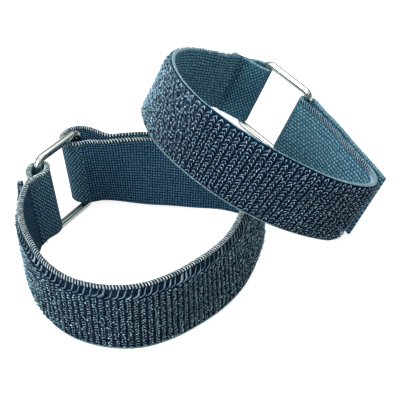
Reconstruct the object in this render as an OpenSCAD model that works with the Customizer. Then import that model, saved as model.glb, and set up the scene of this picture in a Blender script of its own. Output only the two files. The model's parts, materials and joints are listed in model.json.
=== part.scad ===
// Pair of elastic wrist straps, each closed on itself through a wire ring.
//
// Each strap is one length of woven elastic with loop pile on its outer face.
// One end is sewn round a bar of the ring.  The other end comes round the
// hoop, passes through the ring, turns back round the free bar and grips the
// pile with a hook patch.  The lower strap stands on its edge.  The upper one
// leans on it, with its far side on the floor.
//
// Millimetres, +Z up, floor at z = 0, origin under the middle of the pair.

/* [Webbing] */
// Width of the elastic webbing
band_w = 25; // [20:0.5:32]
// Thickness of the elastic webbing
band_t = 1.4; // [1:0.1:1.8]
// Height of the loop pile above the outer face
pile_t = 1.6; // [1:0.1:2]
// Plain border between the pile and each edge
pile_border = 2.6; // [1.8:0.1:4]
// Width of the beaded selvedge along each edge
bead_w = 1.6; // [1:0.1:1.8]
// Height of a selvedge above the outer face
bead_t = 0.5; // [0.3:0.1:0.8]
// Depth to which the pile and the selvedges are woven into the webbing
woven_in = 0.2; // [0.1:0.1:0.4]

/* [Ring] */
// Diameter of the ring's wire
wire_d = 2.8; // [2:0.1:3.2]
// Clear distance between the ring's two bars
ring_window = 19.2; // [15:0.2:24]
// Gap between the ring and each edge of the webbing
ring_play = 0.5; // [0.3:0.1:1]
// Corner radius of the ring, on the wire's centreline
ring_corner = 3; // [2:0.1:3.4]

/* [Sewn end] */
// Distance from the bar to where the loop's two layers meet
loop_l = 7; // [5:0.5:8]
// Length of flat flap sewn down beyond that
flap_l = 3; // [2.5:0.5:4]
// Distance from the flap's end to the cut end of the pile
pile_setback = 1; // [0.5:0.1:2]
// Number of stitches across the flap
stitch_count = 8; // [5:1:10]
// Length of one stitch
stitch_l = 2; // [1:0.1:2.2]
// Thickness of the sewing thread
thread_d = 0.5; // [0.3:0.1:0.7]

/* [Closing end] */
// Distance over which the tail comes down onto the band
pinch_l = 12; // [9:1:14]
// Thickness of the hook patch on the tail's inner face
hook_t = 0.7; // [0.5:0.1:1]
// Length of the hook patch
hook_l = 24; // [16:1:28]
// Plain border of the hook patch at the tail's edges and end
hook_border = 1.6; // [1:0.1:3]
// Gap between the hook patch and the pile
grip_gap = 0.5; // [0.4:0.1:0.8]
// Running gap between the turn and the band's end
turn_gap = 0.3; // [0.2:0.1:0.6]

/* [Lower strap] */
// Mean radius of the hoop
lower_r = 37.5; // [34:0.5:42]
// Direction of the ring seen from the hoop's centre, degrees
lower_ring_dir = 136.5; // [130:0.5:145]
// Slack of the sewn loop round its bar
lower_loop_play = 1.1; // [0.4:0.1:1.4]
// Outward lean of the ring, degrees
lower_ring_lean = 7.5; // [4:0.5:12]
// Distance of the sewn bar beyond the hoop's curve
lower_ring_out = 1.8; // [0:0.1:2.5]
// Distance from the free bar to the end of the tail
lower_tail_l = 47; // [42:1:50]
// Length of the tail's end that stands straight off the band
lower_tail_free = 3; // [2:1:5]
// Inner radius of the webbing's turn round the free bar
lower_turn_r = 4; // [3:0.1:4.4]

/* [Upper strap] */
// Mean radius of the hoop
upper_r = 37.5; // [34:0.5:42]
// Direction of the ring seen from the hoop's centre, degrees
upper_ring_dir = 69.5; // [62:0.5:78]
// Slack of the sewn loop round its bar
upper_loop_play = 0.5; // [0.4:0.1:1.4]
// Outward lean of the ring, degrees
upper_ring_lean = -12; // [-14:0.5:-8]
// Distance of the sewn bar beyond the hoop's curve
upper_ring_out = 0; // [0:0.1:1]
// Distance from the free bar to the end of the tail
upper_tail_l = 52; // [42:1:58]
// Length of the tail's end that stands straight off the band
upper_tail_free = 10; // [4:1:14]
// Inner radius of the webbing's turn round the free bar
upper_turn_r = 2.4; // [2.3:0.1:3.4]
// How far the hoop leans over, degrees
upper_tilt = 30.5; // [28:0.5:32]
// Direction in which the hoop leans, degrees
upper_tilt_dir = 16; // [14:1:18]
// Place of the hoop's centre beside the lower hoop's centre
upper_x = 39.5; // [37:0.5:42]
// Place of the hoop's centre behind the lower hoop's centre
upper_y = 33; // [31:0.5:36]
// Height above the floor of the leaning hoop's lowest edge, at its mean radius
upper_rise = 1; // [0.2:0.1:4.2]

/* [Hidden] */
$fn = 48;

// Steps along the webbing between two of its guide frames.
steps = 4;
// Angle between two guide frames round the hoop.
guide_step = 15;
// Spacing of the guide frames on the straight lengths beside the ring.
straight_l = 5;
// Distance from a bar at which the webbing has joined the hoop's curve.
join_l = 14;

// Height of the leaning hoop's centre above the floor.
upper_z = upper_rise + upper_r * sin(upper_tilt) + band_w / 2 * cos(upper_tilt);

ring_cc = ring_window + wire_d;
ring_half = band_w / 2 + ring_play + wire_d / 2;
ring_drop = ring_play + wire_d;
// From the middle of the band to the middle of the tail that lies on it.
tail_off = band_t + pile_t + grip_gap + hook_t;

// Shape of each hoop, every 30 degrees from +X, anticlockwise:
// distance beyond the mean radius as a percentage of it, share of the ring's
// overhang by which the lower edge is lifted, and outward lean in degrees.
lower_shape = [
    [-4, 0, -7], [20, 0.6, 4.5], [-4, 0.7, 11], [-9.3, 0.8, 17],
    [2.7, 1, 12.5], [-1.3, 1, 10.5], [-1.3, 1, 7], [2.7, 0.8, 2],
    [8, 0, 2.5], [5.3, 0, 0], [-8, 0, -2.5], [-10.7, 0, -4.5]
];
upper_shape = [
    [-12, 0, -6], [-14.7, 0, -9.5], [-5.3, 0, -11], [21.3, 0, -12],
    [-1.3, 0, -10.5], [-2.7, 0, -5], [2.7, 0, 5], [2.7, 0, 11.5],
    [-1.3, 0, 11], [0, 0, 8], [6.7, 0, 9], [14.7, 0, 2]
];

// A strap is [shape, mean radius, ring direction, turn radius, ring lean,
// ring out, loop slack, tail length, free end].
lower = [lower_shape, lower_r, lower_ring_dir, lower_turn_r, lower_ring_lean,
    lower_ring_out, lower_loop_play, lower_tail_l,
    lower_tail_free];
upper = [upper_shape, upper_r, upper_ring_dir, upper_turn_r, upper_ring_lean,
    upper_ring_out, upper_loop_play, upper_tail_l,
    upper_tail_free];

// ---- vector helpers ----
function unit(v) = v / norm(v);
function level(v) = unit([v.x, v.y, 0]);
function square_to(v, w) = unit(v - w * (v * w));
function mix(a, b, t) = a * (1 - t) + b * t;
function smooth(t) = t * t * (3 - 2 * t);
// Catmull-Rom curve between b and c.
function curve(a, b, c, d, t) =
    0.5 * (2 * b + (c - a) * t + (2 * a - 5 * b + 4 * c - d) * t * t
        + (3 * b - 3 * c + d - a) * t * t * t);
function running_length(pts) =
    [for (i = 0, s = 0; i < len(pts);
        s = i < len(pts) - 1 ? s + norm(pts[i + 1] - pts[i]) : s, i = i + 1) s];

// ---- the hoop's own curve ----
function shape_at(strap, th) = let (
        n = len(strap[0]), k = th * n / 360, i = floor(k),
        p = [for (j = [-1:2]) strap[0][((i + j) % n + n) % n]])
    curve(p[0], p[1], p[2], p[3], k - i);
function radius_at(strap, th) = strap[1] * (1 + shape_at(strap, th)[0] / 100);
function lean_at(strap, th) = shape_at(strap, th)[2];
function plan_at(strap, th) = radius_at(strap, th) * [cos(th), sin(th), 0];
function out_at(strap, th) = let (t = unit(plan_at(strap, th + 1) - plan_at(strap, th - 1)))
    [t.y, -t.x, 0];
function gen_at(strap, th) = let (a = lean_at(strap, th))
    out_at(strap, th) * sin(a) + [0, 0, cos(a)];
function lift_at(strap, th) = max(0, min(1, shape_at(strap, th)[1])) * ring_drop;
function height_at(strap, th) = lift_at(strap, th) + band_w / 2 * cos(lean_at(strap, th));
function mid_at(strap, th) = plan_at(strap, th) + [0, 0, height_at(strap, th)];

// ---- the ring's two bars ----
// The ring stands level and leans outward by its own angle.
// Half the angle that the ring takes up in the hoop.
function ring_angle(strap) = asin(ring_cc / 2 / radius_at(strap, strap[2]));
function bar_height(strap) = lift_at(strap, strap[2]) + band_w / 2 * cos(strap[4]);
function anchor_at(strap) = let (th = strap[2] + ring_angle(strap))
    plan_at(strap, th) + out_at(strap, th) * (strap[5] - band_t / 2)
        + [0, 0, bar_height(strap)];
function ring_dir(strap) = let (
        th = strap[2] - ring_angle(strap),
        v = plan_at(strap, th) + out_at(strap, th) * (strap[3] + band_t / 2)
            - anchor_at(strap))
    level(v);
function bar_dir(strap) = let (h = ring_dir(strap), a = strap[4])
    [-h.y * sin(a), h.x * sin(a), cos(a)];
function free_at(strap) = anchor_at(strap) + ring_dir(strap) * ring_cc;

// Directions along the webbing, away from each bar.
function join_angle(strap) = join_l / strap[1] * 180 / PI;
function anchor_x(strap) = let (th = strap[2] + ring_angle(strap) + join_angle(strap))
    square_to(mid_at(strap, th) - out_at(strap, th) * band_t / 2
        - anchor_at(strap), bar_dir(strap));
function anchor_y(strap) = cross(anchor_x(strap), bar_dir(strap));
function turn_x(strap) = let (th = strap[2] - ring_angle(strap) - join_angle(strap))
    square_to(mid_at(strap, th) + out_at(strap, th) * (strap[3] + band_t / 2)
        - free_at(strap), bar_dir(strap));
function turn_y(strap) = cross(bar_dir(strap), turn_x(strap));

function turn_out(strap) = strap[3] + band_t;
// Where the band stops, just clear of the turn that swings past it.
function band_stop(strap) =
    sqrt(pow(turn_out(strap) + turn_gap, 2) - pow(strap[3], 2));
// The way along the webbing: square to the bar as far as s, then level, and
// sinking or rising by the slope given.
function way(x, s, dir, slope) =
    dir * min(x, s) + (level(dir) + [0, 0, slope]) * max(0, x - s);
// Slope beside the turn that brings the webbing to the hoop's own height.
function turn_slope(strap) = let (
        along = band_stop(strap) + straight_l,
        th = strap[2] - ring_angle(strap) - along / strap[1] * 180 / PI)
    (height_at(strap, th) - bar_height(strap)
        - turn_x(strap).z * band_stop(strap)) / straight_l;

// ---- the webbing's path ----
// A frame is [middle of the webbing, outward direction, direction across].
function anchor_frame(strap, x) =
    [anchor_at(strap) + way(x, loop_l, anchor_x(strap), 0) + anchor_y(strap) * band_t / 2,
        anchor_y(strap), bar_dir(strap)];
function turn_frame(strap, x, y) =
    [free_at(strap) + way(x, band_stop(strap), turn_x(strap), turn_slope(strap))
            + turn_y(strap) * y,
        turn_y(strap), bar_dir(strap)];
function hoop_frame(strap, th) = [mid_at(strap, th), out_at(strap, th), gen_at(strap, th)];

function guides(strap) = let (
        skip = ring_angle(strap) + join_angle(strap) + guide_step * 0.6,
        a = strap[2] + skip, b = strap[2] + 360 - skip,
        n = round((b - a) / guide_step))
    concat(
        [anchor_frame(strap, loop_l), anchor_frame(strap, loop_l + straight_l)],
        [for (i = [0:n]) hoop_frame(strap, a + (b - a) * i / n)],
        [for (x = [band_stop(strap) + straight_l, band_stop(strap)])
            turn_frame(strap, x, -strap[3] - band_t / 2)]);
// Smooth run of frames through the guides, never below the hoop's base.
function frames_through(g) = let (
        n = len(g),
        feet = [for (f = g) [f[0] - f[2] * band_w / 2, f[1], f[2]]],
        h = concat([2 * feet[0] - feet[1]], feet, [2 * feet[n - 1] - feet[n - 2]]))
    [for (k = [0:steps * (n - 1)]) let (
            i = min(n - 2, floor(k / steps)), t = k / steps - i,
            f = curve(h[i], h[i + 1], h[i + 2], h[i + 3], t), w = unit(f[2]))
        [[f[0].x, f[0].y, max(0, f[0].z)] + w * band_w / 2, unit(f[1]), w]];

// Frame at a length along a run of frames.
function frame_at(fr, lens, d) = let (
        n = len(fr), k = lookup(d, [for (i = [0:n - 1]) [lens[i], i]]),
        i = min(n - 2, floor(k)), f = mix(fr[i], fr[i + 1], k - i))
    [f[0], unit(f[1]), unit(f[2])];
// The stretch of a run of frames between two lengths, with both ends exact.
function stretch(fr, a, b) = let (lens = running_length([for (f = fr) f[0]]))
    concat([frame_at(fr, lens, a)],
        [for (i = [0:len(fr) - 1]) if (lens[i] > a + 0.2 && lens[i] < b - 0.2) fr[i]],
        [frame_at(fr, lens, b)]);
function total(fr) = let (l = running_length([for (f = fr) f[0]])) l[len(l) - 1];
function shifted(fr, off) = [for (f = fr) [f[0] + f[1] * off, f[1], f[2]]];

lower_path = frames_through(guides(lower));
upper_path = frames_through(guides(upper));

// The tail: from the turn down onto the pile, along the band, then straight off.
function tail_path(strap, path) = let (
        r = strap[3] + band_t / 2,
        down = [for (i = [0:steps]) let (t = i / steps)
            turn_frame(strap, pinch_l * t, mix(r, tail_off - r, smooth(t)))],
        n = len(path), l = total(path), back = [for (i = [n - 1:-1:0]) path[i]],
        from = pinch_l - band_stop(strap) + straight_l / steps,
        on = shifted(stretch(back, from, strap[7] - strap[8] - band_stop(strap)), tail_off),
        m = len(on) - 1, last = on[m], ahead = level(last[0] - on[m - 1][0]),
        laid = concat(down, on),
        rest = strap[7] - total(laid))
    concat(laid, [for (i = [1:steps]) [last[0] + ahead * rest * i / steps, last[1], last[2]]]);
lower_tail_path = tail_path(lower, lower_path);
upper_tail_path = tail_path(upper, upper_path);

// ---- solids swept along a path ----
// A flat strip along frames: v0..v1 across the webbing from its lower edge,
// o0..o1 outward from its middle.
function strip_points(fr, v0, v1, o0, o1) = [for (f = fr)
    each [for (c = [[v0, o0], [v1, o0], [v1, o1], [v0, o1]])
        f[0] + f[2] * (c[0] - band_w / 2) + f[1] * c[1]]];
module strip(run, v0, v1, o0, o1) {
    n = len(run);
    // Always swept anticlockwise, so that its faces look outward.
    back = cross(run[1][0] - run[0][0], run[0][1]) * run[0][2] > 0;
    fr = [for (i = [0:n - 1]) run[back ? n - 1 - i : i]];
    polyhedron(strip_points(fr, v0, v1, o0, o1), concat(
        [for (i = [0:n - 2]) for (j = [0:3]) let (
                a = 4 * i + j, b = 4 * i + (j + 1) % 4)
            each [[a, a + 4, b + 4], [a, b + 4, b]]],
        [[0, 1, 2], [0, 2, 3]],
        [[4 * n - 4, 4 * n - 2, 4 * n - 3], [4 * n - 4, 4 * n - 1, 4 * n - 2]]));
}
// Puts a piece drawn in the plane square to a bar in its place.
module at_frame(o, x, y, z) {
    multmatrix([[x.x, y.x, z.x, o.x], [x.y, y.y, z.y, o.y], [x.z, y.z, z.z, o.z]])
        children();
}

// ---- placing ----
function spin(v, k, a) = v * cos(a) + cross(k, v) * sin(a) + k * (k * v) * (1 - cos(a));
lean_axis = [-sin(upper_tilt_dir), cos(upper_tilt_dir), 0];
function put_upper(p) = [upper_x, upper_y, upper_z]
    + spin(p - [0, 0, band_w / 2], lean_axis, upper_tilt);

// Outline of the two ends of a sewn loop.
function loop_r(strap) = wire_d / 2 + strap[6];
function loop_rim(strap) = [for (z = [-1, 1]) for (a = [0:7.5:352.5])
    anchor_at(strap) + bar_dir(strap) * z * band_w / 2
        + (anchor_x(strap) * cos(a) + anchor_y(strap) * sin(a))
            * (loop_r(strap) + band_t)];

// The pair's extent on the floor, from the outermost pieces.
pile_out = band_t / 2 + pile_t;
reach = concat(
    strip_points(lower_path, pile_border, band_w - pile_border, 0, pile_out),
    strip_points(lower_path, 0, band_w, 0, band_t / 2 + bead_t),
    [for (p = concat(
        strip_points(upper_path, pile_border, band_w - pile_border, 0, pile_out),
        strip_points(upper_path, 0, band_w, 0, band_t / 2 + bead_t),
        strip_points(upper_tail_path, 0, band_w, 0, band_t / 2 + bead_t),
        loop_rim(upper)))
        put_upper(p)]);
function middle(v) = (min(v) + max(v)) / 2;
home = [middle([for (p = reach) p.x]), middle([for (p = reach) p.y]), 0];

module place_lower() { translate(-home) children(); }
module place_upper() {
    translate([upper_x, upper_y, upper_z] - home)
        rotate(a = upper_tilt, v = lean_axis)
            translate([0, 0, -band_w / 2]) children();
}

// ---- pieces of one strap ----
pile_from = flap_l + pile_setback;
module band(path) {
    color("#24506b") strip(path, 0, band_w, -band_t / 2, band_t / 2);
}
module pile(path) {
    color("#16283f") strip(
        stretch(path, pile_from, total(path) - pile_setback),
        pile_border, band_w - pile_border, band_t / 2 - woven_in, pile_out);
}
module bead(path, from) {
    color("#8fb0bd") strip(stretch(path, flap_l, total(path) - pile_setback),
        from, from + bead_w, band_t / 2 - woven_in, band_t / 2 + bead_t);
}

// The sewn loop round the ring's fixed bar, drawn with the bar at the origin.
module anchor_loop(strap) {
    r = loop_r(strap);
    color("#24506b")
    at_frame(anchor_at(strap), anchor_x(strap), anchor_y(strap), -bar_dir(strap))
    linear_extrude(band_w, center = true) difference() {
        union() {
            circle(r + band_t);
            polygon([[0, -r - band_t], [loop_l, -band_t],
                [loop_l, band_t], [0, r + band_t]]);
            translate([0, -band_t]) square([loop_l + flap_l, band_t]);
        }
        circle(r);
        polygon([[0, -r], [loop_l - band_t, 0], [0, r]]);
    }
}
module anchor_seam(strap) {
    pitch = band_w / stitch_count;
    color("#9fbcc6")
    at_frame(anchor_at(strap), anchor_x(strap), anchor_y(strap), -bar_dir(strap))
    for (i = [0:stitch_count - 1])
        translate([loop_l + flap_l - 2 * thread_d, -band_t - thread_d,
            pitch * (i + 0.5) - band_w / 2 - stitch_l / 2])
            cube([thread_d, thread_d, stitch_l]);
}

// Rectangular ring of round wire, drawn about its own centre with its long
// bars along Z.
module wire_ring() {
    long = ring_half - ring_corner;
    wide = ring_cc / 2 - ring_corner;
    for (s = [-1, 1]) {
        translate([s * ring_cc / 2, 0, -long]) cylinder(d = wire_d, h = 2 * long);
        translate([-wide, 0, s * ring_half]) rotate([0, 90, 0])
            cylinder(d = wire_d, h = 2 * wide);
        for (t = [-1, 1]) translate([s * wide, 0, t * long])
            mirror([s < 0 ? 1 : 0, 0, 0]) mirror([0, 0, t < 0 ? 1 : 0])
                rotate([90, 0, 0]) rotate_extrude(angle = 90)
                    translate([ring_corner, 0]) circle(d = wire_d);
    }
}
module ring(strap) {
    color("#e8ecee")
    at_frame((anchor_at(strap) + free_at(strap)) / 2,
        ring_dir(strap), cross(bar_dir(strap), ring_dir(strap)), bar_dir(strap))
        wire_ring();
}

// The turn round the free bar, drawn with the bar at the origin.
module turn(strap) {
    r = strap[3];
    color("#24506b")
    at_frame(free_at(strap), turn_x(strap), turn_y(strap), bar_dir(strap))
    linear_extrude(band_w, center = true) intersection() {
        circle(turn_out(strap));
        difference() {
            union() {
                translate([-2 * r - band_t, -2 * r - band_t])
                    square([2 * r + band_t, 2 * (2 * r + band_t)]);
                translate([0, -turn_out(strap)]) square([turn_out(strap), band_t]);
            }
            circle(r);
        }
    }
}
module tail(path) {
    color("#2b5a75") strip(path, 0, band_w, -band_t / 2, band_t / 2);
}
module tail_beads(path) {
    color("#8fb0bd") for (v = [0, band_w - bead_w])
        strip(path, v, v + bead_w, band_t / 2 - woven_in, band_t / 2 + bead_t);
}
module hook_patch(path) {
    color("#101a26") strip(
        stretch(path, total(path) - hook_border - hook_l, total(path) - hook_border),
        pile_border + hook_border, band_w - pile_border - hook_border,
        -band_t / 2 - hook_t, -band_t / 2 + woven_in);
}

// ---- the pair ----
module lower_band() { place_lower() band(lower_path); }
module lower_pile() { place_lower() pile(lower_path); }
module lower_bead_top() { place_lower() bead(lower_path, band_w - bead_w); }
module lower_bead_bottom() { place_lower() bead(lower_path, 0); }
module lower_anchor_loop() { place_lower() anchor_loop(lower); }
module lower_anchor_seam() { place_lower() anchor_seam(lower); }
module lower_ring() { place_lower() ring(lower); }
module lower_turn() { place_lower() turn(lower); }
module lower_tail() { place_lower() tail(lower_tail_path); }
module lower_tail_beads() { place_lower() tail_beads(lower_tail_path); }
module lower_hook_patch() { place_lower() hook_patch(lower_tail_path); }

module upper_band() { place_upper() band(upper_path); }
module upper_pile() { place_upper() pile(upper_path); }
module upper_bead_top() { place_upper() bead(upper_path, band_w - bead_w); }
module upper_bead_bottom() { place_upper() bead(upper_path, 0); }
module upper_anchor_loop() { place_upper() anchor_loop(upper); }
module upper_anchor_seam() { place_upper() anchor_seam(upper); }
module upper_ring() { place_upper() ring(upper); }
module upper_turn() { place_upper() turn(upper); }
module upper_tail() { place_upper() tail(upper_tail_path); }
module upper_tail_beads() { place_upper() tail_beads(upper_tail_path); }
module upper_hook_patch() { place_upper() hook_patch(upper_tail_path); }

lower_band();
lower_pile();
lower_bead_top();
lower_bead_bottom();
lower_anchor_loop();
lower_anchor_seam();
lower_ring();
lower_turn();
lower_tail();
lower_tail_beads();
lower_hook_patch();
upper_band();
upper_pile();
upper_bead_top();
upper_bead_bottom();
upper_anchor_loop();
upper_anchor_seam();
upper_ring();
upper_turn();
upper_tail();
upper_tail_beads();
upper_hook_patch();
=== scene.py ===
"""Dresses a pair of elastic wrist straps: woven webbing, loop pile, whipped
selvedges, sewn loops, hook patches and bright wire rings.

Each strap is one length of webbing.  Its pieces are modelled flat, with u along
the webbing, v across it and o out of its pile side, and are then laid along the
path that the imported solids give.  Lengths in a mesh are metres.
"""

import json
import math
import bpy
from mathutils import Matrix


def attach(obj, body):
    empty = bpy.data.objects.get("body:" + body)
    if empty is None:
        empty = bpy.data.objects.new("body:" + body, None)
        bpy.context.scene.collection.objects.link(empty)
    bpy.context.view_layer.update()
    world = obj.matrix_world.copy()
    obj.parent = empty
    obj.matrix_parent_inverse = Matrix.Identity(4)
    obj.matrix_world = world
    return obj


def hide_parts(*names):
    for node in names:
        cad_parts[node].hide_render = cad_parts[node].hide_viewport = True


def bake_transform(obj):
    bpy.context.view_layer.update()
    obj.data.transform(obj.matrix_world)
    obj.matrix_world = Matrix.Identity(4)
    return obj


bl_info = {
    "name": "Elastic Wrist Straps",
    "version": (1, 0, 0),
    "blender": (4, 5, 0),
    "location": "View3D > Sidebar > Wrist Straps",
    "description": "Builds the fabric, rings and studio of a pair of wrist straps",
    "category": "Object",
}

import bmesh
import bpy
import numpy as np
from bmesh.types import BMEdge, BMVert
from bpy.props import FloatProperty, FloatVectorProperty, IntProperty, PointerProperty
from bpy.types import Operator, Panel, PropertyGroup
from mathutils import Matrix, Vector

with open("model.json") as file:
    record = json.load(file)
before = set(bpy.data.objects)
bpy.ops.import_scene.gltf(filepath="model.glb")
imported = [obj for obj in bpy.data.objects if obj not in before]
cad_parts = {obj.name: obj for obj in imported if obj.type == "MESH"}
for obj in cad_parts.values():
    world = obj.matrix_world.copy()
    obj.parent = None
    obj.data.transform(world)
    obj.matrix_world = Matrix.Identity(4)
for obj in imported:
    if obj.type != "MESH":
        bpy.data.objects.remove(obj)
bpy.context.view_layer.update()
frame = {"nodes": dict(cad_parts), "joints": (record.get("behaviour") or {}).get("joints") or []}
STRAPS = ("lower", "upper")
MM = 0.001
SAME = 1e-6  # metres within which two points are one
JOINTS = {j["name"]: j for j in frame["joints"]}


def colour(hex_code):
    """A linear colour from an sRGB hex value."""
    parts = [int(hex_code[i:i + 2], 16) / 255 for i in (1, 3, 5)]
    return [c / 12.92 if c <= 0.04045 else ((c + 0.055) / 1.055) ** 2.4 for c in parts]


def length_prop(name, text, mm):
    return FloatProperty(name=name, description=text, default=mm * MM, unit="LENGTH",
                         precision=5, min=0)


def colour_prop(name, text, hex_code):
    return FloatVectorProperty(name=name, description=text, default=colour(hex_code),
                               subtype="COLOR", size=3, min=0, max=1)


def add_pairs(props, prop, pairs):
    """Adds a property for each strap, with one name and description for both."""
    for key, (name, text, *defaults) in pairs.items():
        for strap, default in zip(STRAPS, defaults):
            props[f"{strap}_{key}"] = prop(f"{strap.title()} {name}", text, default)


class StrapSizes(PropertyGroup):
    webbing_w: length_prop("Webbing width", "Width of the webbing", 25)
    webbing_t: length_prop("Webbing thickness", "Thickness of the webbing", 1.4)
    wire_d: length_prop("Wire", "Diameter of the ring's wire", 2.8)
    ring_play: length_prop("Ring play", "Gap between ring and webbing edge", 0.5)
    ring_corner: length_prop("Ring corner", "Corner radius on the wire's centreline", 3)
    loop_l: length_prop("Loop length", "Bar to where the sewn layers meet", 7)
    flap_l: length_prop("Flap length", "Flat flap sewn down beyond that", 4.5)
    pile_t: length_prop("Pile height", "Height of the loops above the webbing", 1.6)
    pile_bed_t: length_prop("Pile bed", "Height of the dense foot of the pile", 0.85)
    pile_border: length_prop("Pile border", "Bare border beside the pile", 2.6)
    pile_setback: length_prop("Pile end", "Bare length before the free bar", 1)
    ending_l: length_prop("Pile ending", "Length over which the cut end rises", 12)
    puff_l: length_prop("Puff length", "Length of the swollen tail", 17)
    whip_pitch: length_prop("Whip pitch", "Spacing of the stitches on an edge", 0.95)
    whip_r: length_prop("Whip strand", "Radius of an edge stitch", 0.15)
    hook_l: length_prop("Hook length", "Length of the hook tape", 24)
    hook_border: length_prop("Hook border", "Webbing beyond the hook tape", 1.6)
    thread_d: length_prop("Thread", "Diameter of the sewing thread", 0.5)
    stitch_l: length_prop("Stitch", "Length of one stitch", 2)
    stitches: IntProperty(name="Stitches", description="Stitches across a flap",
                          default=8, min=1)
    add_pairs(__annotations__, length_prop, {
        "slack": ("slack", "Slack of the sewn loop", 1.1, 0.5),
        "bulge": ("bulge", "Bulge of the sewn loop's inner side", 0.9, 0.1),
        "puff": ("puff", "Swelling of the turn and the tail by it", 3.4, 0.3),
        "pile_from": ("pile start", "Bare length after the loop", 1.5, 4),
        "bare": ("bare edge", "Ground above the pile", 3.9, 0.3),
        "loose": ("loose pile", "Length of hoop with loose pile", 22, 88),
        "flare": ("flare", "How far the pile's cut end lifts", 1.5, 0.0),
        "strand_r": ("strand", "Radius of one pile strand", 0.12, 0.105),
        "column": ("columns", "Spacing of the pile columns", 1.94, 2.3),
        "row": ("rows", "Spacing of the loops in a column", 1.02, 1.3),
        "loop_w": ("loop", "Half width of a pile loop", 0.32, 0.6),
        "stagger": ("stagger", "Sideways step of the loops", 0.3, 0.38),
        "edge_w": ("edge cord", "Half width of an edge's cord", 0.45, 0.3),
        "edge_t": ("edge depth", "Half depth of an edge's cord", 0.8, 0.5),
    })


class StrapColours(PropertyGroup):
    loop: colour_prop("Pile loops", "Tops of the pile's strands", "#9CBED0")
    loop_dark: colour_prop("Pile shade", "Darker strands of the pile", "#3D6B82")
    whip: colour_prop("Edge stitches", "Pale stitches over the edges", "#D0D8D3")
    cord: colour_prop("Edge cord", "Soft pale cord of the bare edges", "#88AEB8")
    core: colour_prop("Edge core", "Dark cord beneath the edge stitches", "#04131F")
    thread: colour_prop("Thread", "Sewing thread", "#0E2A3D")
    hook: colour_prop("Hook tape", "Moulded hook tape", "#101C2A")
    chrome: colour_prop("Ring", "Bright plate of the ring", "#CDD5CE")
    floor: colour_prop("Floor", "Studio floor", "#B8B8B8")
    wall_foot: colour_prop("Wall foot", "Foot of the studio's wall", "#1A211D")
    wall_top: colour_prop("Wall top", "Top of the studio's wall", "#A9B3AC")
    add_pairs(__annotations__, colour_prop, {
        "face": ("woven face", "Navy or teal of the inner face", "#001C36", "#064460"),
        "pick": ("picks", "Raised picks of the weave", "#618DA1", "#9CCEDA"),
        "back": ("knit face", "Teal of the other face", "#15364A", "#265D77"),
        "purl": ("purls", "Raised purls of the knit", "#7E9EA6", "#9FC7D3"),
        "base": ("ground", "Navy ground beneath the pile", "#021429", "#02142B"),
    })


# ---- materials ----

def node(tree, kind, links=None, out=0, **settings):
    """Adds a node, sets its values, links its inputs and gives one of its outputs."""
    made = tree.nodes.new("ShaderNode" + kind)
    for key, value in settings.items():
        setattr(made, key, value)
    for key, value in (links or {}).items():
        socket = made.inputs[key]
        if isinstance(value, bpy.types.NodeSocket):
            tree.links.new(value, socket)
        elif hasattr(socket.default_value, "__len__") and len(socket.default_value) == 4:
            socket.default_value = [*value, 1][:4]
        else:
            socket.default_value = value
    return made.outputs[out]


def material(name, **shader):
    """An empty material with its shader's own sockets set."""
    made = bpy.data.materials.new(name)
    made.use_nodes = True
    bsdf = made.node_tree.nodes["Principled BSDF"]
    for key, value in shader.items():
        socket = bsdf.inputs[key.replace("_", " ")]
        socket.default_value = [*value, 1] if hasattr(value, "__len__") else value
    return made, made.node_tree, bsdf


def surface(tree, bsdf, shade, height, strength, depth):
    """Gives a shader its colour and its relief."""
    bump = node(tree, "Bump", {"Height": height, "Strength": strength, "Distance": depth})
    tree.links.new(shade, bsdf.inputs["Base Color"])
    tree.links.new(bump, bsdf.inputs["Normal"])


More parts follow.
